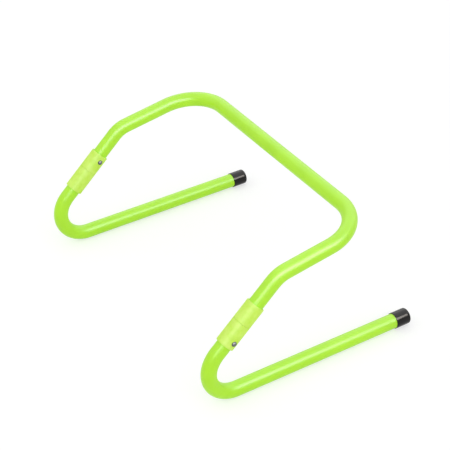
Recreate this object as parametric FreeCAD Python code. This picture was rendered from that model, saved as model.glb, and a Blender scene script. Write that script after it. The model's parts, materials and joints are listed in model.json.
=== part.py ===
import FreeCAD, Part
import math
import os

from FreeCAD import Placement, Rotation, Vector

# Speed hurdle at its low setting. A bent tube hoop stands on two hairpin foot tubes. Each leg is joined
# to its foot by two sleeves that swivel on each other, so turning the feet half round lifts the hoop.
# X runs along the crossbar, Y along the feet towards their caps, Z up. The floor is at Z 0.
# Sizes are millimetres and degrees, and bends are measured to the tube's axis.

# Tube stock
tube_od = 25.0
tube_wall = 2.0

# Hoop
leg_spacing = 495.0
corner_radius = 73.0
upper_leg_length = 81.0
stub_bend_radius = 46.0
stub_bend_angle = 34.0
stub_showing = 41.0

# Foot tubes
sleeve_slope = 44.0
foot_riser = 17.5
foot_bend_radius = 50.0
foot_length = 332.0

# Sleeves
sleeve_wall = 2.7
sleeve_fit = 0.05
upper_sleeve_length = 34.6
lower_sleeve_length = 42.0
parting_gap = 0.4
mouth_rounding = 0.7
parting_rounding = 0.4
tube_end_gap = 0.4

# Swivel between the sleeves
half_turn = 180.0
neck_length = 12.0
neck_wall = 3.0
neck_web = 4.0
swivel_fit = 0.08
lug_angle = 24.0
lug_height = 3.0
lug_reach = 2.2
lug_fit = 0.3

# Split ring that holds the swivel together
ring_depth = 5.0
ring_width = 1.6
ring_thickness = 1.8
ring_seat = 0.9
ring_fit = 0.1
ring_running_gap = 0.3
ring_split = 4.0

# Snap buttons
button_diameter = 8.0
button_proud = 2.2
button_rounding = 2.6
button_skin = 0.9
button_from_mouth = 11.0
tube_hole_fit = 0.1
sleeve_hole_fit = 0.3
flange_rim = 0.8
flange_thickness = 0.8
flange_gap = 0.1
rivet_diameter = 3.2
rivet_head_rim = 0.9
rivet_head_height = 0.6
rivet_fit = 0.1

# Folded leaf springs behind the buttons
leaf_thickness = 0.7
leaf_width = 8.0
leaf_length = 14.0
leaf_tail = 7.0
leaf_gap = 0.05

# End caps
cap_length = 28.0
cap_wall = 1.05
cap_end = 3.0
cap_rounding = 2.8
cap_lip_rounding = 0.35

# Radii that follow from the stock and the fits
tube_r = tube_od / 2
tube_bore_r = tube_r - tube_wall
socket_r = tube_r + sleeve_fit
sleeve_r = socket_r + sleeve_wall
neck_r = socket_r - swivel_fit
neck_bore_r = neck_r - neck_wall
cap_r = socket_r + cap_wall
button_r = button_diameter / 2
flange_r = button_r + flange_rim
ring_outer_r = socket_r + ring_seat
ring_inner_r = ring_outer_r - ring_thickness

# Heights along the sleeve axis, from the end of the foot tube's bend
lower_mouth = foot_riser
lower_top = lower_mouth + lower_sleeve_length
web_bottom = lower_top - neck_web
neck_top = lower_top + neck_length
upper_bottom = lower_top + parting_gap
upper_mouth = upper_bottom + upper_sleeve_length
ring_height = upper_bottom + ring_depth
foot_tube_top = web_bottom - tube_end_gap
stub_end = neck_top + tube_end_gap
stub_bend_start = upper_mouth + stub_showing
lower_button = lower_mouth + button_from_mouth
upper_button = upper_mouth - button_from_mouth

# The feet rise by the cap's extra radius, so that caps and bends touch the floor together
foot_pitch = math.degrees(math.asin((cap_r - tube_r) / (foot_length - cap_length)))


def in_leg_plane(angle):
    # Unit vector in the leg's plane, turned up from +Y
    turn = math.radians(angle)
    return Vector(0, math.cos(turn), math.sin(turn))


# Right leg's plane: the foot's line, its bend and the sleeve axis
foot_line = in_leg_plane(foot_pitch)
sleeve_line = in_leg_plane(sleeve_slope)
upper_leg_line = in_leg_plane(sleeve_slope - stub_bend_angle)
bend_reach = foot_bend_radius + tube_r
bend_centre = Vector(leg_spacing / 2, (bend_reach - foot_length * foot_line.y) / 2, bend_reach)
foot_start = bend_centre - in_leg_plane(foot_pitch + 90) * foot_bend_radius
foot_end = foot_start + foot_line * foot_length
riser_start = bend_centre + in_leg_plane(sleeve_slope + 90) * foot_bend_radius

on_sleeve_axis = Placement(riser_start, Rotation(Vector(1, 0, 0), sleeve_slope - 90))
on_foot_end = Placement(foot_end, Rotation(Vector(1, 0, 0), foot_pitch - 90))
at_lower_button = Placement(Vector(0, 0, lower_button), Rotation())
at_upper_button = Placement(Vector(0, 0, upper_button), Rotation(Vector(0, 1, 0), 180))


class TubeRun:
    # Hollow round tube made of straights and tangent bends, one after the other

    def __init__(self, start, direction):
        self.end = start
        self.direction = direction
        self.solids = []

    def section(self):
        rims = []
        for radius in (tube_r, tube_bore_r):
            rims.append(Part.Wire(Part.makeCircle(radius, self.end, self.direction)))
        return Part.makeFace(rims, "Part::FaceMakerBullseye")

    def straight(self, length):
        self.solids.append(self.section().extrude(self.direction * length))
        self.end = self.end + self.direction * length

    def bend(self, radius, angle, towards):
        centre = self.end + towards * radius
        axis = self.direction.cross(towards)
        self.solids.append(self.section().revolve(centre, axis, angle))
        turn = Rotation(axis, angle)
        self.end = centre - turn.multVec(towards) * radius
        self.direction = turn.multVec(self.direction)

    def solid(self):
        return self.solids[0].multiFuse(self.solids[1:]).removeSplitter()


def rounded_outline(corners):
    # Closed outline in the XZ plane through (x, z) corners; a third value rounds that corner
    points = [Vector(corner[0], 0, corner[1]) for corner in corners]
    starts = []
    ends = []
    edges = []
    for index, corner in enumerate(corners):
        here = points[index]
        back = (points[index - 1] - here).normalize()
        ahead = (points[(index + 1) % len(points)] - here).normalize()
        radius = corner[2] if len(corner) > 2 else 0
        half_angle = back.getAngle(ahead) / 2
        inset = radius / math.tan(half_angle)
        starts.append(here + back * inset)
        ends.append(here + ahead * inset)
        if radius:
            middle = (back + ahead).normalize()
            deepest = here + middle * (radius / math.sin(half_angle) - radius)
            edges.append(Part.Arc(starts[index], deepest, ends[index]).toShape())
    for index, end in enumerate(ends):
        edges.append(Part.makeLine(end, starts[(index + 1) % len(starts)]))
    return Part.Face(Part.Wire(Part.__sortEdges__(edges)))


def turned(corners):
    # Round solid about the Z axis from (radius, height) corners
    return rounded_outline(corners).revolve(Vector(0, 0, 0), Vector(0, 0, 1), 360)


def ring_sector(inner_r, outer_r, bottom, top, start_angle, angle):
    # Part of a flat ring about the Z axis
    base = Vector(0, 0, bottom)
    upwards = Vector(0, 0, 1)
    outer = Part.makeCylinder(outer_r, top - bottom, base, upwards, angle)
    inner = Part.makeCylinder(inner_r, top - bottom, base, upwards, 360)
    sector = outer.cut(inner)
    sector.rotate(Vector(0, 0, 0), upwards, start_angle)
    return sector


def button_hole(fit):
    # Drill for a snap button, along its own X axis
    return Part.makeCylinder(button_r + fit, sleeve_r + button_proud, Vector(0, 0, 0), Vector(1, 0, 0))


def placed(shape, *placements):
    # Copy of a shape carried through the placements, innermost first
    copy = shape.copy()
    for placement in placements:
        copy.Placement = placement.multiply(copy.Placement)
    return copy


def mirrored(shape):
    return shape.mirror(Vector(0, 0, 0), Vector(1, 0, 0))


def hoop_tube():
    run = TubeRun(on_sleeve_axis.multVec(Vector(0, 0, stub_end)), sleeve_line)
    run.straight(stub_bend_start - stub_end)
    run.bend(stub_bend_radius, stub_bend_angle, in_leg_plane(sleeve_slope - 90))
    run.straight(upper_leg_length)
    run.bend(corner_radius, 90, Vector(-1, 0, 0))
    run.straight(leg_spacing - 2 * corner_radius)
    run.bend(corner_radius, 90, upper_leg_line * -1)
    run.straight(upper_leg_length)
    run.bend(stub_bend_radius, stub_bend_angle, in_leg_plane(sleeve_slope - stub_bend_angle - 90))
    run.straight(stub_bend_start - stub_end)
    hole = placed(button_hole(tube_hole_fit), at_upper_button, on_sleeve_axis)
    return run.solid().cut(hole).cut(mirrored(hole))


def foot_tube():
    run = TubeRun(foot_end - foot_line * cap_end, foot_line * -1)
    run.straight(foot_length - cap_end)
    run.bend(foot_bend_radius, 180 + foot_pitch - sleeve_slope, in_leg_plane(foot_pitch + 90))
    run.straight(foot_tube_top)
    return run.solid().cut(placed(button_hole(tube_hole_fit), at_lower_button, on_sleeve_axis))


def ring_groove(radius):
    # The two rims of a groove for the split ring, lower one first
    half_width = ring_width / 2 + ring_fit
    return (radius, ring_height - half_width), (radius, ring_height + half_width)


def upper_sleeve():
    wall_low, wall_high = ring_groove(socket_r)
    floor_low, floor_high = ring_groove(ring_outer_r + ring_fit)
    sleeve = turned([
        (socket_r, upper_bottom),
        (sleeve_r, upper_bottom, parting_rounding),
        (sleeve_r, upper_mouth, mouth_rounding),
        (socket_r, upper_mouth, mouth_rounding),
        wall_high,
        floor_high,
        floor_low,
        wall_low,
    ])
    lug_root = (socket_r + sleeve_r) / 2
    lug = ring_sector(socket_r - lug_reach, lug_root, neck_top - lug_height, neck_top,
                      -90 - lug_angle / 2, lug_angle)
    hole = placed(button_hole(sleeve_hole_fit), at_upper_button)
    return placed(sleeve.fuse(lug).removeSplitter().cut(hole), on_sleeve_axis)


def lower_sleeve():
    wall_low, wall_high = ring_groove(neck_r)
    floor_low, floor_high = ring_groove(ring_inner_r - ring_running_gap)
    sleeve = turned([
        (socket_r, lower_mouth, mouth_rounding),
        (sleeve_r, lower_mouth, mouth_rounding),
        (sleeve_r, lower_top, parting_rounding),
        (neck_r, lower_top),
        wall_low,
        floor_low,
        floor_high,
        wall_high,
        (neck_r, neck_top),
        (neck_bore_r, neck_top),
        (neck_bore_r, web_bottom),
        (socket_r, web_bottom),
    ])
    # The slot in the neck's rim lets the lug travel half a turn and stops it at each setting
    lug_play = math.degrees(lug_fit / neck_r)
    slot = ring_sector(neck_bore_r / 2, sleeve_r, neck_top - lug_height - lug_fit, neck_top + lug_fit,
                       -90 - lug_angle / 2 - lug_play, half_turn + lug_angle + 2 * lug_play)
    hole = placed(button_hole(sleeve_hole_fit), at_lower_button)
    return placed(sleeve.cut(slot).cut(hole), on_sleeve_axis)


def swivel_ring():
    low = ring_height - ring_width / 2
    high = ring_height + ring_width / 2
    split_angle = math.degrees(ring_split / ring_outer_r)
    ring = ring_sector(ring_inner_r, ring_outer_r, low, high, split_angle / 2, 360 - split_angle)
    return placed(ring, on_sleeve_axis)


# The button's flange rests inside the tube's bore, and the leaf lies under the flange
flange_top = math.sqrt(tube_bore_r ** 2 - flange_r ** 2) - flange_gap
flange_bottom = flange_top - flange_thickness
front_leaf = flange_bottom - leaf_gap - leaf_thickness / 2
back_leaf = leaf_thickness / 2 + leaf_gap - math.sqrt(tube_bore_r ** 2 - (leaf_width / 2) ** 2)
lie_along_x = Placement(Vector(0, 0, 0), Rotation(Vector(0, 1, 0), 90))


def snap_button():
    rivet_r = rivet_diameter / 2
    button_top = sleeve_r + button_proud
    leaf_bottom = flange_bottom - leaf_thickness - 2 * leaf_gap
    rivet_bottom = leaf_bottom - rivet_head_height
    button = turned([
        (0, rivet_bottom),
        (rivet_r + rivet_head_rim, rivet_bottom, rivet_head_height / 2),
        (rivet_r + rivet_head_rim, leaf_bottom),
        (rivet_r, leaf_bottom),
        (rivet_r, flange_bottom),
        (flange_r, flange_bottom),
        (flange_r, flange_top),
        (button_r, flange_top),
        (button_r, button_top, button_rounding),
        (0, button_top),
    ])
    hollow = turned([
        (0, flange_top),
        (button_r - button_skin, flange_top),
        (button_r - button_skin, button_top - button_skin, button_rounding - button_skin),
        (0, button_top - button_skin),
    ])
    return placed(button.cut(hollow), lie_along_x)


def button_spring():
    # Strip folded round at one end, its front leaf under the button and its back leaf on the bore
    half = leaf_thickness / 2
    fold_x = (front_leaf + back_leaf) / 2
    fold_r = (front_leaf - back_leaf) / 2
    edges = []
    for radius in (fold_r - half, fold_r + half):
        front = Vector(fold_x + radius, 0, -leaf_length)
        back = Vector(fold_x - radius, 0, -leaf_length)
        tip = Vector(fold_x, 0, -leaf_length - radius)
        edges.append(Part.Arc(front, tip, back).toShape())
        for fold_side in (front, back):
            edges.append(Part.makeLine(fold_side, Vector(fold_side.x, 0, leaf_tail)))
    for leaf in (front_leaf, back_leaf):
        edges.append(Part.makeLine(Vector(leaf - half, 0, leaf_tail), Vector(leaf + half, 0, leaf_tail)))
    strip = Part.Face(Part.Wire(Part.__sortEdges__(edges))).extrude(Vector(0, leaf_width, 0))
    strip.translate(Vector(0, -leaf_width / 2, 0))
    rivet_hole = Part.makeCylinder(rivet_diameter / 2 + rivet_fit, front_leaf + leaf_thickness,
                                   Vector(0, 0, 0), Vector(1, 0, 0))
    return strip.cut(rivet_hole)


def end_cap():
    # Origin on the cap's closed end, which is the foot's very end
    cap = turned([
        (0, 0),
        (cap_r, 0, cap_rounding),
        (cap_r, -cap_length, cap_lip_rounding),
        (socket_r, -cap_length, cap_lip_rounding),
        (socket_r, -cap_end),
        (0, -cap_end),
    ])
    return placed(cap, on_foot_end)


# Pieces of the right side, each with a mirrored twin on the left
sided_pieces = {
    "foot_tube": foot_tube(),
    "end_cap": end_cap(),
    "upper_sleeve": upper_sleeve(),
    "lower_sleeve": lower_sleeve(),
    "swivel_ring": swivel_ring(),
    "upper_button": placed(snap_button(), at_upper_button, on_sleeve_axis),
    "lower_button": placed(snap_button(), at_lower_button, on_sleeve_axis),
    "upper_button_spring": placed(button_spring(), at_upper_button, on_sleeve_axis),
    "lower_button_spring": placed(button_spring(), at_lower_button, on_sleeve_axis),
}

pieces = {"hoop_tube": hoop_tube()}
for name, shape in sided_pieces.items():
    pieces["right_" + name] = shape
    pieces["left_" + name] = mirrored(shape)

os.makedirs("parts", exist_ok=True)
for name, shape in pieces.items():
    shape.exportStep("parts/" + name + ".step")
    state = "valid" if shape.isValid() else "NOT VALID"
    print(name, state, len(shape.Solids), "solid", round(shape.Volume, 1))
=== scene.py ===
import bmesh
import bpy
import json
import math
from mathutils import Matrix, Vector


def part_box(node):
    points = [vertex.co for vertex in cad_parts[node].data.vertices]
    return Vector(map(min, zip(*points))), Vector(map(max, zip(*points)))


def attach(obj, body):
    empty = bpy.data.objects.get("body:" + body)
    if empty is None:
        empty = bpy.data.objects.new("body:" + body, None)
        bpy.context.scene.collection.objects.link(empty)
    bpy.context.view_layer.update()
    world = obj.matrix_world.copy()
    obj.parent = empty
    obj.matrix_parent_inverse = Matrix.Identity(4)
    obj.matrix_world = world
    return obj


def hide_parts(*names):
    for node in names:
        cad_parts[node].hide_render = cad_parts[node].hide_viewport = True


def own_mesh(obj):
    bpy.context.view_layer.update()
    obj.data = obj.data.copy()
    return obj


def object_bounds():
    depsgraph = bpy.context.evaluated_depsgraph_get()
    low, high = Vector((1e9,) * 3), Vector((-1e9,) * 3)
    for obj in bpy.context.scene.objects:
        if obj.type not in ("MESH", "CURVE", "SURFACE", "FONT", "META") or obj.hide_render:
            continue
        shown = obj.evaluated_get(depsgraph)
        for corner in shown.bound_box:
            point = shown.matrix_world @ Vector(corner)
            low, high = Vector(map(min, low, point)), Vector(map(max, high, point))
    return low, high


# Two-height training hurdle on a pale floor.
# Settings are millimetres and degrees, and what is built from them is in metres, in the frame's axes.

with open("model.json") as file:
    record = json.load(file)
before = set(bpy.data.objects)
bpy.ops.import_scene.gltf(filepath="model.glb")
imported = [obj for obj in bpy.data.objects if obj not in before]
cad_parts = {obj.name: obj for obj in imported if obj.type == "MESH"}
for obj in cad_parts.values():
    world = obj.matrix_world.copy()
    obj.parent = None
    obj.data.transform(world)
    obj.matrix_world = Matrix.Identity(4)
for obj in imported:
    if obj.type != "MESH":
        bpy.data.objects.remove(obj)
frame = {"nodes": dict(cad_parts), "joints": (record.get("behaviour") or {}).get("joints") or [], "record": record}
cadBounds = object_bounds()
joints = {joint["name"]: joint for joint in frame["joints"]}
mounts = {mount["name"]: mount for mount in frame["record"]["mounts"]}
mm = 0.001


def srgb(hexCode):
    channels = [int(hexCode[i:i + 2], 16) / 255 for i in (1, 3, 5)]
    linear = [c / 12.92 if c <= 0.04045 else ((c + 0.055) / 1.055) ** 2.4 for c in channels]
    return (*linear, 1.0)


def addNode(tree, kind, inputs=None, **settings):
    # Inputs go by socket name, or by number where a node repeats its names
    node = tree.nodes.new("ShaderNode" + kind)
    for name, value in settings.items():
        setattr(node, name, value)
    for socket, value in (inputs or {}).items():
        if isinstance(value, bpy.types.NodeSocket):
            tree.links.new(value, node.inputs[socket])
        else:
            node.inputs[socket].default_value = value
    return node


def startMaterial(name):
    material = bpy.data.materials.new(name)
    material.use_nodes = True
    material.node_tree.nodes.clear()
    return material, material.node_tree


# Most of a noise pattern's values lie between the first two, and patches start and end at the other two
noiseLow = 0.3
noiseHigh = 0.7
patchLow = 0.35
patchHigh = 0.65


# Extruded PVC: pigmented pipe drawn through a die, then bent warm.
# The eye gets a wet, saturated lime skin, with faint lines running along the tube through every bend.
pvc = {
    "lime": "#B5EF24",
    "deepLime": "#AFE91E",
    "ior": 1.53,
    "glossLevel": 0.4,      # low, because all the surroundings here are white
    "glossTint": "#CBE4FF",
    "roughness": (0.33, 0.41),
    "drawLine": 0.9,        # real lines are about 0.3 wide, drawn wider so that they show
    "drawLength": 180,
    "drawDepth": 0.0014,
    "cloud": 55,            # patches of slightly deeper pigment
}


def extrudedPvc():
    material, tree = startMaterial("extruded PVC")
    drawn = addNode(tree, "Attribute", attribute_name="straight").outputs["Vector"]
    perLine = 1 / (pvc["drawLine"] * mm)
    lineScale = (perLine, perLine, 1 / (pvc["drawLength"] * mm))
    stretched = addNode(tree, "Mapping", {"Vector": drawn, "Scale": lineScale}).outputs[0]
    lines = addNode(tree, "TexNoise", {"Vector": stretched, "Scale": 1, "Detail": 2}).outputs[0]
    perCloud = 1 / (pvc["cloud"] * mm)
    cloud = addNode(tree, "TexNoise", {"Vector": drawn, "Scale": perCloud, "Detail": 3}).outputs[0]
    share = addNode(tree, "MapRange", {0: cloud, 1: patchLow, 2: patchHigh}).outputs[0]
    limes = {0: share, 6: srgb(pvc["lime"]), 7: srgb(pvc["deepLime"])}
    colour = addNode(tree, "Mix", limes, data_type="RGBA").outputs[2]
    low, high = pvc["roughness"]
    gloss = addNode(tree, "MapRange", {0: lines, 1: noiseLow, 2: noiseHigh, 3: low, 4: high}).outputs[0]
    bump = addNode(tree, "Bump", {"Height": lines, "Distance": pvc["drawDepth"] * mm})
    skin = addNode(tree, "BsdfPrincipled", {
        "Base Color": colour,
        "Roughness": gloss,
        "IOR": pvc["ior"],
        "Specular IOR Level": pvc["glossLevel"],
        "Specular Tint": srgb(pvc["glossTint"]),
        "Normal": bump.outputs[0],
    })
    addNode(tree, "OutputMaterial", {"Surface": skin.outputs[0]})
    return material


# Moulded polypropylene: sleeves from a fine spark-eroded mould.
# The eye gets a yellower, milkier lime than the pipe, with a broad satin highlight.
polypropylene = {
    "yellowLime": "#C5EE46",
    "paleLime": "#D0F362",
    "ior": 1.49,
    "glossLevel": 0.4,
    "glossTint": "#CBE4FF",
    "roughness": (0.46, 0.56),
    "grain": 2.4,           # the mould's grain is about 0.1, drawn coarser so that it shows
    "grainDepth": 0.03,
    "flow": 11,             # pale clouds where the melt flowed round the core
}


def mouldedPolypropylene():
    material, tree = startMaterial("moulded polypropylene")
    straight = addNode(tree, "Attribute", attribute_name="straight").outputs["Vector"]
    perGrain = 1 / (polypropylene["grain"] * mm)
    perFlow = 1 / (polypropylene["flow"] * mm)
    grain = addNode(tree, "TexNoise", {"Vector": straight, "Scale": perGrain, "Detail": 3}).outputs[0]
    flow = addNode(tree, "TexNoise", {"Vector": straight, "Scale": perFlow, "Detail": 2}).outputs[0]
    share = addNode(tree, "MapRange", {0: flow, 1: patchLow, 2: patchHigh}).outputs[0]
    limes = {0: share, 6: srgb(polypropylene["yellowLime"]), 7: srgb(polypropylene["paleLime"])}
    colour = addNode(tree, "Mix", limes, data_type="RGBA").outputs[2]
    low, high = polypropylene["roughness"]
    gloss = addNode(tree, "MapRange", {0: grain, 1: noiseLow, 2: noiseHigh, 3: low, 4: high}).outputs[0]
    bump = addNode(tree, "Bump", {"Height": grain, "Distance": polypropylene["grainDepth"] * mm})
    skin = addNode(tree, "BsdfPrincipled", {
        "Base Color": colour,
        "Roughness": gloss,
        "IOR": polypropylene["ior"],
        "Specular IOR Level": polypropylene["glossLevel"],
        "Specular Tint": srgb(polypropylene["glossTint"]),
        "Normal": bump.outputs[0],
    })
    addNode(tree, "OutputMaterial", {"Surface": skin.outputs[0]})
    return material


# Dipped vinyl: soft black PVC set on a hot form.
# The eye gets a near-black skin with a tight grey streak of light and a faint orange peel.
vinyl = {
    "black": "#0D0B0A",
    "dustyBlack": "#161412",
    "ior": 1.5,
    "glossLevel": 0.23,     # low, so that the white surroundings don't turn the black grey
    "roughness": (0.07, 0.12),
    "peel": 3.5,
    "peelDepth": 0.003,
    "dust": 0.8,            # dust is finer, drawn coarser so that it shows
    "dustSpan": (0.5, 0.75),  # where the noise starts to count as dust, and where it is all dust
}


def dippedVinyl():
    material, tree = startMaterial("dipped vinyl")
    straight = addNode(tree, "Attribute", attribute_name="straight").outputs["Vector"]
    perPeel = 1 / (vinyl["peel"] * mm)
    perDust = 1 / (vinyl["dust"] * mm)
    peel = addNode(tree, "TexNoise", {"Vector": straight, "Scale": perPeel, "Detail": 1}).outputs[0]
    dust = addNode(tree, "TexNoise", {"Vector": straight, "Scale": perDust, "Detail": 4}).outputs[0]
    bare, dusty = vinyl["dustSpan"]
    share = addNode(tree, "MapRange", {0: dust, 1: bare, 2: dusty}).outputs[0]
    blacks = {0: share, 6: srgb(vinyl["black"]), 7: srgb(vinyl["dustyBlack"])}
    colour = addNode(tree, "Mix", blacks, data_type="RGBA").outputs[2]
    low, high = vinyl["roughness"]
    gloss = addNode(tree, "MapRange", {0: dust, 1: noiseLow, 2: noiseHigh, 3: low, 4: high}).outputs[0]
    bump = addNode(tree, "Bump", {"Height": peel, "Distance": vinyl["peelDepth"] * mm})
    skin = addNode(tree, "BsdfPrincipled", {
        "Base Color": colour,
        "Roughness": gloss,
        "IOR": vinyl["ior"],
        "Specular IOR Level": vinyl["glossLevel"],
        "Normal": bump.outputs[0],
    })
    addNode(tree, "OutputMaterial", {"Surface": skin.outputs[0]})
    return material


# Zinc-plated steel: drawn button cups, barrel-plated and dulled by handling.
# The eye gets a small grey dome with a soft highlight and fine rings left by the drawing die.
zincPlate = {
    "zinc": "#6E7174",
    "greyZinc": "#56595D",
    "roughness": (0.5, 0.62),
    "ring": 0.45,           # die rings are finer, drawn wider so that they show
    "ringDepth": 0.004,
}


def platedSteel():
    material, tree = startMaterial("zinc-plated steel")
    straight = addNode(tree, "Attribute", attribute_name="straight").outputs["Vector"]
    flat = addNode(tree, "VectorMath", {0: straight, 1: (1, 1, 0)}, operation="MULTIPLY").outputs[0]
    fromAxis = addNode(tree, "VectorMath", {0: flat}, operation="LENGTH").outputs["Value"]
    spread = {"W": fromAxis, "Scale": 1 / (zincPlate["ring"] * mm), "Detail": 2}
    rings = addNode(tree, "TexNoise", spread, noise_dimensions="1D").outputs[0]
    greys = {0: rings, 6: srgb(zincPlate["zinc"]), 7: srgb(zincPlate["greyZinc"])}
    colour = addNode(tree, "Mix", greys, data_type="RGBA").outputs[2]
    low, high = zincPlate["roughness"]
    gloss = addNode(tree, "MapRange", {0: rings, 1: noiseLow, 2: noiseHigh, 3: low, 4: high}).outputs[0]
    bump = addNode(tree, "Bump", {"Height": rings, "Distance": zincPlate["ringDepth"] * mm})
    skin = addNode(tree, "BsdfPrincipled", {
        "Base Color": colour,
        "Metallic": 1,
        "Roughness": gloss,
        "Normal": bump.outputs[0],
    })
    addNode(tree, "OutputMaterial", {"Surface": skin.outputs[0]})
    return material


# Blued spring steel: rolled strip, hardened and left blank.
# The eye gets a grey metal with a slight blue, and rolling streaks along the strip.
blueSteel = {
    "steel": "#8D9197",
    "blueGrey": "#71777F",
    "roughness": (0.28, 0.42),
    "streak": 0.5,
    "streakLength": 12,
}


def springSteel():
    material, tree = startMaterial("spring steel")
    place = addNode(tree, "TexCoord").outputs["Object"]
    perStreak = 1 / (blueSteel["streak"] * mm)
    streakScale = (perStreak, 1 / (blueSteel["streakLength"] * mm), perStreak)
    stretched = addNode(tree, "Mapping", {"Vector": place, "Scale": streakScale}).outputs[0]
    streaks = addNode(tree, "TexNoise", {"Vector": stretched, "Scale": 1, "Detail": 2}).outputs[0]
    greys = {0: streaks, 6: srgb(blueSteel["steel"]), 7: srgb(blueSteel["blueGrey"])}
    colour = addNode(tree, "Mix", greys, data_type="RGBA").outputs[2]
    low, high = blueSteel["roughness"]
    gloss = addNode(tree, "MapRange", {0: streaks, 1: noiseLow, 2: noiseHigh, 3: low, 4: high}).outputs[0]
    skin = addNode(tree, "BsdfPrincipled", {"Base Color": colour, "Metallic": 1, "Roughness": gloss})
    addNode(tree, "OutputMaterial", {"Surface": skin.outputs[0]})
    return material


finishes = {
    "lime_tube": extrudedPvc(),
    "sleeve": mouldedPolypropylene(),
    "black_cap": dippedVinyl(),
    "button_steel": platedSteel(),
    "spring_steel": springSteel(),
}
for node in frame["nodes"].values():
    node.material_slots[0].material = finishes[node.material_slots[0].material.name]
print("materials:", ", ".join(material.name for material in finishes.values()))


# Round work: every tube, sleeve, cap and button is a wall swept along a route
grid = {
    "sides": 72,            # points round each ring
    "straightStep": 15,     # along straight runs
    "bendStep": 3,          # degrees of turn along bends
    "holeSteps": 6,         # grid steps from a hole's middle to the edge of its patch
    "holeReach": 6.6,       # how far the patch reaches along the wall
    "patchLoops": (0.4, 0.75, 1.0),  # loops across the patch, as shares of the way in to the rim
    "arcSteps": 6,          # steps round each rounded edge
    "sharpAngle": 40,       # edges that turn more than this stay crisp
    "sameSpot": 0.0001,     # what lies closer than this counts as the same place
}


def layRoute(start, side, corners):
    # Straight runs and tangent bends through corners, each a point with its bend radius.
    # A run keeps where it starts, its length and its axes: side, across and along.
    along = (corners[0][0] - start).normalized()
    axes = Matrix((side, along.cross(side), along)).transposed()
    point = start
    gone = 0.0
    runs = []
    for index, (corner, radius) in enumerate(corners):
        along = axes.col[2]
        length = (corner - point).length
        if radius:
            onward = (corners[index + 1][0] - corner).normalized()
            turn = along.angle(onward)
            length -= radius * math.tan(turn / 2)
        runs.append({"from": gone, "length": length, "point": point, "axes": axes})
        point = point + along * length
        gone += length
        if radius:
            hinge = along.cross(onward).normalized()
            centre = point + hinge.cross(along) * radius
            runs.append({"from": gone, "length": radius * turn, "point": point, "axes": axes,
                         "hinge": hinge, "centre": centre, "radius": radius})
            spin = Matrix.Rotation(turn, 3, hinge)
            point = centre + spin @ (point - centre)
            axes = spin @ axes
            gone += radius * turn
    return runs


def runAt(route, distance):
    return next((run for run in route if distance <= run["from"] + run["length"]), route[-1])


def routeAt(route, distance):
    run = runAt(route, distance)
    gone = distance - run["from"]
    if "hinge" not in run:
        return run["point"] + run["axes"].col[2] * gone, run["axes"]
    spin = Matrix.Rotation(gone / run["radius"], 3, run["hinge"])
    return run["centre"] + spin @ (run["point"] - run["centre"]), spin @ run["axes"]


def stationsAlong(route, first, last, holes=()):
    # Even steps along each run, and a finer even grid across each hole's patch
    reach = grid["holeReach"] * mm
    edges = [hole["at"] + sign * reach for hole in holes for sign in (-1, 1)]
    stops = sorted({first, last, *edges, *(run["from"] for run in route)})
    stops = [stop for stop in stops if first <= stop <= last]
    found = [first]
    for low, high in zip(stops, stops[1:]):
        middle = (low + high) / 2
        run = runAt(route, middle)
        step = grid["straightStep"] * mm
        if "hinge" in run:
            step = run["radius"] * math.radians(grid["bendStep"])
        count = math.ceil((high - low) / step)
        if any(abs(middle - hole["at"]) < reach for hole in holes):
            count = 2 * grid["holeSteps"]
        found += [low + (high - low) * (k + 1) / count for k in range(count)]
    return found


def roundedOutline(corners):
    # (distance, radius) corners; a third value rounds that corner
    outline = []
    for index, corner in enumerate(corners):
        here = Vector(corner[:2])
        if len(corner) < 3:
            outline.append(tuple(here))
            continue
        back = (Vector(corners[index - 1][:2]) - here).normalized()
        ahead = (Vector(corners[(index + 1) % len(corners)][:2]) - here).normalized()
        half = back.angle(ahead) / 2
        centre = here + (back + ahead).normalized() * (corner[2] / math.sin(half))
        spoke = here + back * (corner[2] / math.tan(half)) - centre
        lastSpoke = here + ahead * (corner[2] / math.tan(half)) - centre
        sweep = spoke.angle_signed(lastSpoke)
        for k in range(grid["arcSteps"] + 1):
            swung = spoke.copy()
            swung.rotate(Matrix.Rotation(-sweep * k / grid["arcSteps"], 2))
            outline.append(tuple(centre + swung))
    return outline


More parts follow.
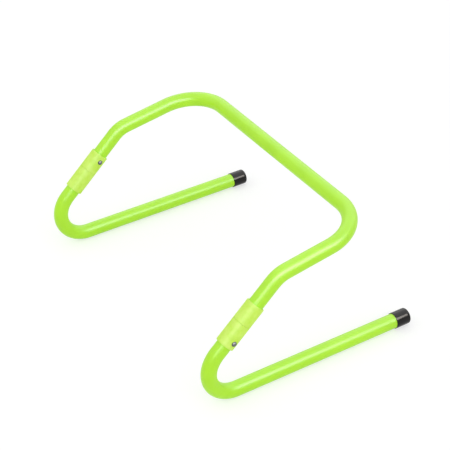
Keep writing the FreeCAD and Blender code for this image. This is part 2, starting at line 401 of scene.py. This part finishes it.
def wallMesh(name, route, outline, skins=(), holes=(), closed=True):
    # Rings along the route, joined by quads. Holes go through both skins, on the rings' first side.
    sides = grid["sides"]
    step = 2 * math.pi / sides
    bm = bmesh.new()
    straight = bm.verts.layers.float_vector.new("straight")  # where each point was before bending

    def addPoint(x, y, distance):
        point, axes = routeAt(route, distance)
        vert = bm.verts.new(point + axes @ Vector((x, y, 0)))
        vert[straight] = (x, y, distance)
        return vert

    def addRing(distance, radius):
        turns = [i * step for i in range(sides if radius > 0 else 1)]
        return [addPoint(radius * math.cos(turn), radius * math.sin(turn), distance) for turn in turns]

    def addHoleLoop(hole, radius, spots, sink=0.0):
        # Spots are measured from the hole's middle on the skin of that radius, and sink into the wall
        return [addPoint(math.sqrt(radius ** 2 - x ** 2) - sink, x, hole["at"] + y) for x, y in spots]

    def joinLoops(loop, following):
        count = max(len(loop), len(following))
        for i in range(count):
            corners = [loop[i % len(loop)], loop[(i + 1) % len(loop)],
                       following[(i + 1) % len(following)], following[i % len(following)]]
            bm.faces.new(dict.fromkeys(corners))

    def drillSkin(hole, radius):
        # Clears a square patch and gives the loops from its border in to the round rim
        n = grid["holeSteps"]
        close = grid["sameSpot"] * mm
        reach = grid["holeReach"] * mm + close
        rows = [j for j, (distance, skin) in enumerate(outline)
                if abs(skin - radius) < close and abs(distance - hole["at"]) < reach]
        rows.sort(key=lambda j: outline[j][0])
        inside = [rings[j][i] for j in rows[1:-1] for i in range(1 - n, n)]
        bmesh.ops.delete(bm, geom=inside, context="VERTS")
        border = [(i, rows[0]) for i in range(-n, n)]
        border += [(n, j) for j in rows[:-1]]
        border += [(i, rows[-1]) for i in range(n, -n, -1)]
        border += [(-n, j) for j in rows[:0:-1]]
        edge = [Vector((radius * math.sin(i * step), outline[j][0] - hole["at"])) for i, j in border]
        outerSkin = radius == skins[0]
        rim = hole["radius"] + (hole["rounding"] if outerSkin else 0)
        loops = [[rings[j][i] for i, j in border]]
        for share in grid["patchLoops"]:
            spots = [spot.lerp(spot.normalized() * rim, share) for spot in edge]
            loops.append(addHoleLoop(hole, radius, spots))
        for k in range(1, grid["arcSteps"] + 1 if outerSkin else 1):
            lean = math.pi / 2 * k / grid["arcSteps"]
            rim = hole["radius"] + hole["rounding"] * (1 - math.sin(lean))
            sink = hole["rounding"] * (1 - math.cos(lean))
            loops.append(addHoleLoop(hole, radius, [spot.normalized() * rim for spot in edge], sink))
        return loops

    rings = [addRing(distance, radius) for distance, radius in outline]
    for index in range(len(rings) if closed else len(rings) - 1):
        joinLoops(rings[index], rings[(index + 1) % len(rings)])
    for hole in holes:
        outer, inner = (drillSkin(hole, radius) for radius in skins)
        loops = outer + inner[::-1]
        for loop, following in zip(loops, loops[1:]):
            joinLoops(loop, following)

    bmesh.ops.recalc_face_normals(bm, faces=bm.faces)
    mesh = bpy.data.meshes.new(name)
    bm.to_mesh(mesh)
    bm.free()
    mesh.shade_smooth()
    mesh.set_sharp_from_angle(angle=math.radians(grid["sharpAngle"]))
    piece = bpy.data.objects.new(name, mesh)
    bpy.context.scene.collection.objects.link(piece)
    return piece


def dress(piece, body, node, slot):
    piece.data.materials.append(finishes[slot])
    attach(piece, body)
    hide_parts(node)


# Sizes that several pieces share
tube = {
    "diameter": 25,
    "wall": 2,
    "endRounding": 0.3,
    "holeClearance": 0.1,
    "holeRounding": 0.15,
}
sleeve = {
    "diameter": 30.5,
    "bore": 25.1,
    "mouthRounding": 0.7,
    "partingRounding": 0.3,
    "partingGap": 0.2,      # the line between the two sleeves
    "holeClearance": 0.3,
    "holeRounding": 0.35,
    "neckDiameter": 24.94,
    "neckBore": 18.94,
    "neckLength": 12,
    "neckWeb": 4,           # from the parting line down to the end of the bore
}
button = {
    "diameter": 8,
    "noseRounding": 2.6,
    "flangeDiameter": 9.6,
    "flangeThickness": 0.8,
    "flangeFromFoot": 1.4,  # from the inner end of the rivet's head
    "rivetDiameter": 3.2,
    "headDiameter": 5,
    "headHeight": 0.6,
    "headRounding": 0.3,
}
tubeRadius = tube["diameter"] / 2 * mm
tubeBore = tubeRadius - tube["wall"] * mm
sleeveRadius = sleeve["diameter"] / 2 * mm
sleeveBore = sleeve["bore"] / 2 * mm


# Where the frame puts each leg. Distances run up its sleeve line, from the swivel.
def legLayout(side):
    swivel = joints[side + "_foot_swivel"]
    middle = Vector(swivel["pos_m"])
    up = Vector(swivel["axis"]) * math.copysign(1, swivel["axis"][2])
    lean = math.sqrt(1 - up.z ** 2)

    def reach(node, end, radius, rounding=0.0):
        # A round end's distance, from the height of its box
        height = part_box(node)[1].z if end > 0 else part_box(node)[0].z
        support = height - middle.z - end * ((radius - rounding) * lean + rounding)
        return support / up.z + end * rounding

    def buttonAt(level):
        low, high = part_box(side + "_" + level + "_button")
        return ((low + high) / 2 - middle).dot(up)

    rounding = sleeve["mouthRounding"] * mm
    return {
        "side": side,
        "middle": middle,
        "up": up,
        "upperMouth": reach(side + "_upper_sleeve", 1, sleeveRadius, rounding),
        "lowerMouth": reach(side + "_lower_sleeve", -1, sleeveRadius, rounding),
        "stubEnd": reach("hoop_tube", -1, tubeRadius),
        "footTop": reach(side + "_foot_tube", 1, tubeRadius),
        "upperButton": buttonAt("upper"),
        "lowerButton": buttonAt("lower"),
        "upperFacing": -Vector(joints[side + "_upper_button_press"]["axis"]),
        "lowerFacing": -Vector(joints[side + "_lower_button_press"]["axis"]),
    }


legs = {side: legLayout(side) for side in ("right", "left")}


def tubeWall(name, route, holes):
    last = route[-1]["from"] + route[-1]["length"]
    inset = tube["endRounding"] * mm
    stations = stationsAlong(route, 2 * inset, last - 2 * inset, holes)  # clear of the rounded ends
    outline = roundedOutline([
        (0, tubeBore, inset),
        (0, tubeRadius, inset),
        *((distance, tubeRadius) for distance in stations),
        (last, tubeRadius, inset),
        (last, tubeBore, inset),
        *((distance, tubeBore) for distance in reversed(stations)),
    ])
    return wallMesh(name, route, outline, (tubeRadius, tubeBore), holes)


def tubeHole(at):
    radius = (button["diameter"] / 2 + tube["holeClearance"]) * mm
    return {"at": at, "radius": radius, "rounding": tube["holeRounding"] * mm}


# Hoop: stub, knee, upper leg, corner, crossbar, and the same again backwards
hoop = {"legSlope": 10, "kneeRadius": 46, "cornerRadius": 73}


def hoopTube():
    low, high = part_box("hoop_tube")
    slope = math.radians(hoop["legSlope"])
    legLine = Vector((0, math.cos(slope), math.sin(slope)))
    corners = []
    for side in ("right", "left"):
        leg = legs[side]
        start = leg["middle"] + leg["up"] * leg["stubEnd"]
        corner = Vector((leg["middle"].x, high.y - tubeRadius, high.z - tubeRadius))
        across = legLine.cross(Vector((1, 0, 0)))
        knee = start + leg["up"] * ((corner - start).dot(across) / leg["up"].dot(across))
        found = [(start, 0), (knee, hoop["kneeRadius"] * mm), (corner, hoop["cornerRadius"] * mm)]
        corners += found if side == "right" else reversed(found)
    route = layRoute(corners[0][0], legs["right"]["upperFacing"], corners[1:])
    last = route[-1]["from"] + route[-1]["length"]
    fromEnd = legs["right"]["upperButton"] - legs["right"]["stubEnd"]
    piece = tubeWall("hoopTube", route, [tubeHole(fromEnd), tubeHole(last - fromEnd)])
    dress(piece, "hoop", "hoop_tube", "lime_tube")


# Foot: down out of the sleeve, round the hairpin and along the floor into the cap
foot = {"bendRadius": 50}


def footTube(leg):
    side = leg["side"]
    start = leg["middle"] + leg["up"] * leg["footTop"]
    mount = mounts[side + "_foot_end"]
    floorLine = Vector(mount["axis"])
    onFloor = Vector(mount["pos_m"])
    across = floorLine.cross(Vector((1, 0, 0)))
    knee = start - leg["up"] * ((onFloor - start).dot(across) / -leg["up"].dot(across))
    end = onFloor + floorLine * (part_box(side + "_foot_tube")[1].y - onFloor.y)
    route = layRoute(start, leg["lowerFacing"], [(knee, foot["bendRadius"] * mm), (end, 0)])
    piece = tubeWall(side + "FootTube", route, [tubeHole(leg["footTop"] - leg["lowerButton"])])
    dress(piece, side + "_foot", side + "_foot_tube", "lime_tube")


hoopTube()
for leg in legs.values():
    footTube(leg)
print("tubes: hoop and feet")


# Sleeves: the upper one is a plain socket, and the lower one has a neck that turns inside it
def sleeveHole(at):
    radius = (button["diameter"] / 2 + sleeve["holeClearance"]) * mm
    return {"at": at, "radius": radius, "rounding": sleeve["holeRounding"] * mm}


def upperSleeve(leg):
    bottom = sleeve["partingGap"] / 2 * mm
    top = leg["upperMouth"]
    rounding = sleeve["mouthRounding"] * mm
    parting = sleeve["partingRounding"] * mm
    start = leg["middle"]
    route = layRoute(start, leg["upperFacing"], [(start + leg["up"] * top, 0)])
    holes = [sleeveHole(leg["upperButton"])]
    stations = stationsAlong(route, bottom + 2 * rounding, top - 2 * rounding, holes)
    outline = roundedOutline([
        (bottom, sleeveBore, parting),
        (bottom, sleeveRadius, parting),
        *((distance, sleeveRadius) for distance in stations),
        (top, sleeveRadius, rounding),
        (top, sleeveBore, rounding),
        *((distance, sleeveBore) for distance in reversed(stations)),
    ])
    piece = wallMesh(leg["side"] + "UpperSleeve", route, outline, (sleeveRadius, sleeveBore), holes)
    dress(piece, "hoop", leg["side"] + "_upper_sleeve", "sleeve")


def lowerSleeve(leg):
    # Distances run up from the mouth
    height = -leg["lowerMouth"]
    top = height - sleeve["partingGap"] / 2 * mm
    rounding = sleeve["mouthRounding"] * mm
    web = top - sleeve["neckWeb"] * mm
    neckTop = top + sleeve["neckLength"] * mm
    neckRadius = sleeve["neckDiameter"] / 2 * mm
    neckBore = sleeve["neckBore"] / 2 * mm
    start = leg["middle"] + leg["up"] * leg["lowerMouth"]
    route = layRoute(start, leg["lowerFacing"], [(start + leg["up"] * neckTop, 0)])
    holes = [sleeveHole(leg["lowerButton"] - leg["lowerMouth"])]
    stations = stationsAlong(route, 2 * rounding, web - 2 * rounding, holes)
    outline = roundedOutline([
        (0, sleeveBore, rounding),
        (0, sleeveRadius, rounding),
        *((distance, sleeveRadius) for distance in stations),
        (top, sleeveRadius, sleeve["partingRounding"] * mm),
        (top, neckRadius),
        (neckTop, neckRadius, sleeve["partingRounding"] * mm),
        (neckTop, neckBore, sleeve["partingRounding"] * mm),
        (web, neckBore),
        (web, sleeveBore),
        *((distance, sleeveBore) for distance in reversed(stations)),
    ])
    piece = wallMesh(leg["side"] + "LowerSleeve", route, outline, (sleeveRadius, sleeveBore), holes)
    dress(piece, leg["side"] + "_foot", leg["side"] + "_lower_sleeve", "sleeve")


for leg in legs.values():
    upperSleeve(leg)
    lowerSleeve(leg)
print("sleeves: two to each leg")


# Caps: a soft cup pushed over the front end of each foot
cap = {
    "wall": 1.05,
    "end": 3,
    "rounding": 2.8,
    "lipRounding": 0.35,
    "rings": 4,             # rings along the side
}


def endCap(side):
    mount = mounts[side + "_foot_end"]
    axis = Vector(mount["axis"])
    middle = Vector(mount["pos_m"])
    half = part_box(side + "_end_cap")[1].y - middle.y
    length = 2 * half
    outer = mount["dims"]["r_mm"] * mm
    bore = outer - cap["wall"] * mm
    route = layRoute(middle - axis * half, Vector((1, 0, 0)), [(middle + axis * half, 0)])
    stations = [length * (k + 1) / (cap["rings"] + 1) for k in range(cap["rings"])]
    outline = roundedOutline([
        (length, 0),
        (length, outer / 2),    # a ring half way out on the end face
        (length, outer, cap["rounding"] * mm),
        *((distance, outer) for distance in reversed(stations)),
        (0, outer, cap["lipRounding"] * mm),
        (0, bore, cap["lipRounding"] * mm),
        (length - cap["end"] * mm, bore),
        (length - cap["end"] * mm, 0),
    ])
    piece = wallMesh(side + "EndCap", route, outline, closed=False)
    dress(piece, side + "_foot", side + "_end_cap", "black_cap")


for side in legs:
    endCap(side)
print("caps: one on each foot")


# Buttons: a drawn cup with a round nose, a flange inside the tube and a rivet whose head holds the leaf
def snapButton(side, level):
    node = side + "_" + level + "_button"
    low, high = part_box(node)
    facing = -Vector(joints[node + "_press"]["axis"])
    middle = (low + high) / 2
    height = high.x - low.x
    start = middle - facing * (height / 2)
    radius = button["diameter"] / 2 * mm
    flange = button["flangeDiameter"] / 2 * mm
    rivet = button["rivetDiameter"] / 2 * mm
    head = button["headDiameter"] / 2 * mm
    headTop = button["headHeight"] * mm
    flangeLow = button["flangeFromFoot"] * mm
    flangeHigh = flangeLow + button["flangeThickness"] * mm
    route = layRoute(start, legs[side]["up"], [(start + facing * height, 0)])
    outline = roundedOutline([
        (0, 0),
        (0, head, button["headRounding"] * mm),
        (headTop, head),
        (headTop, rivet),
        (flangeLow, rivet),
        (flangeLow, flange),
        (flangeHigh, flange),
        (flangeHigh, radius),
        (height, radius, button["noseRounding"] * mm),
        (height, 0),
    ])
    piece = wallMesh(side + level.title() + "Button", route, outline, closed=False)
    dress(piece, node, node, "button_steel")


for side in legs:
    for level in ("upper", "lower"):
        snapButton(side, level)
print("buttons: one in each sleeve")


def leafSpring(side, level, body):
    node = side + "_" + level + "_button_spring"
    piece = bpy.data.objects.new(side + level.title() + "Spring", frame["nodes"][node].data.copy())
    bpy.context.scene.collection.objects.link(piece)
    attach(piece, body)
    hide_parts(node)
    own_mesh(piece)


for side in legs:
    leafSpring(side, "upper", "hoop")
    leafSpring(side, "lower", side + "_foot")
print("springs: one behind each button")


# Floor and light: a pale floor that keeps the shadow, a bright soft world and soft boxes on both sides.
# The long box and the ceiling only show in the gloss: the streaks along the tubes and the paler upper sides.
studio = {
    "floorSize": 60000,
    "floorGrey": 0.9,       # what the floor throws back on the hurdle
    "floorSeen": 0.5,       # share of the seen floor that takes shadow
    "floorGlow": (0.57, 0.66),  # the rest of the seen floor, near the hurdle and past the lamps' reach
    "floorFade": (700, 3500),
    "worldLight": 0.78,
}
onlyGloss = ("longBox", "ceiling")
softBoxes = {
    "broadBox": {"place": (2400, -300, 1800), "size": (2850, 2250), "power": 18, "colour": "#FFFFFF"},
    "fillBox": {"place": (-900, -1500, 1300), "size": (1400, 1100), "power": 4.5, "colour": "#FFFFFF"},
    "longBox": {"place": (1540, -250, 1560), "size": (3800, 1200), "power": 195, "colour": "#FFF7EE"},
    "ceiling": {"place": (-600, 900, 2000), "size": (5000, 5000), "power": 130, "colour": "#FFFFFF"},
}


def aim(azimuth, elevation):
    turn = math.radians(azimuth)
    lift = math.radians(elevation)
    return Vector((math.sin(turn) * math.cos(lift), -math.cos(turn) * math.cos(lift), math.sin(lift)))


def seenRays(tree):
    # One where a ray from the camera, a mirror or a lens looks straight at the surface
    rays = addNode(tree, "LightPath").outputs
    seen = rays["Is Camera Ray"]
    for kind in ("Is Glossy Ray", "Is Transmission Ray"):
        seen = addNode(tree, "Math", {0: seen, 1: rays[kind]}, operation="MAXIMUM").outputs[0]
    return seen


def paleFloor():
    half = studio["floorSize"] / 2 * mm
    mesh = bpy.data.meshes.new("floor")
    corners = [(-half, -half, 0), (half, -half, 0), (half, half, 0), (-half, half, 0)]
    mesh.from_pydata(corners, [], [range(len(corners))])
    floor = bpy.data.objects.new("floor", mesh)
    bpy.context.scene.collection.objects.link(floor)
    material, tree = startMaterial("matt white floor")
    grey = studio["floorGrey"]
    thrown = addNode(tree, "BsdfDiffuse", {"Color": (grey, grey, grey, 1)})
    share = studio["floorSeen"]
    shaded = addNode(tree, "BsdfDiffuse", {"Color": (share, share, share, 1)})
    place = addNode(tree, "TexCoord").outputs["Object"]
    out = addNode(tree, "VectorMath", {0: place}, operation="LENGTH").outputs["Value"]
    near, far = (distance * mm for distance in studio["floorFade"])
    dim, bright = studio["floorGlow"]
    strength = addNode(tree, "MapRange", {0: out, 1: near, 2: far, 3: dim, 4: bright}).outputs[0]
    glow = addNode(tree, "Emission", {"Strength": strength})
    seen = addNode(tree, "AddShader", {0: shaded.outputs[0], 1: glow.outputs[0]})
    mixed = addNode(tree, "MixShader", {0: seenRays(tree), 1: thrown.outputs[0], 2: seen.outputs[0]})
    addNode(tree, "OutputMaterial", {"Surface": mixed.outputs[0]})
    mesh.materials.append(material)


def whiteWorld():
    world = bpy.data.worlds.new("white studio")
    world.use_nodes = True
    tree = world.node_tree
    tree.nodes.clear()
    white = srgb("#FFFFFF")
    light = addNode(tree, "Background", {"Color": white, "Strength": studio["worldLight"]})
    seen = addNode(tree, "Background", {"Color": white, "Strength": 1})
    mixed = addNode(tree, "MixShader", {0: seenRays(tree), 1: light.outputs[0], 2: seen.outputs[0]})
    addNode(tree, "OutputWorld", {"Surface": mixed.outputs[0]})
    bpy.context.scene.world = world


def softBox(name, settings, target):
    lamp = bpy.data.lights.new(name, "AREA")
    lamp.shape = "RECTANGLE"
    lamp.size = settings["size"][0] * mm
    lamp.size_y = settings["size"][1] * mm
    lamp.energy = settings["power"]
    lamp.color = srgb(settings["colour"])[:3]
    box = bpy.data.objects.new(name, lamp)
    bpy.context.scene.collection.objects.link(box)
    away = Vector(settings["place"]) * mm
    box.location = target + away
    box.rotation_euler = away.to_track_quat("Z", "Y").to_euler()
    box.visible_diffuse = name not in onlyGloss


# Camera: above and to the right of the feet's bends, as the photograph was taken
view = {"azimuth": 57.8, "elevation": 35.3, "distance": 2250, "lens": 108}


def addCamera(target):
    camera = bpy.data.objects.new("camera", bpy.data.cameras.new("camera"))
    bpy.context.scene.collection.objects.link(camera)
    away = aim(view["azimuth"], view["elevation"])
    camera.location = target + away * view["distance"] * mm
    camera.rotation_euler = away.to_track_quat("Z", "Y").to_euler()
    camera.data.lens = view["lens"]
    bpy.context.scene.camera = camera


middle = (cadBounds[0] + cadBounds[1]) / 2
paleFloor()
whiteWorld()
for name, settings in softBoxes.items():
    softBox(name, settings, middle)
addCamera(middle)
bpy.context.scene.view_settings.view_transform = "Standard"
print("floor, light and camera in place")
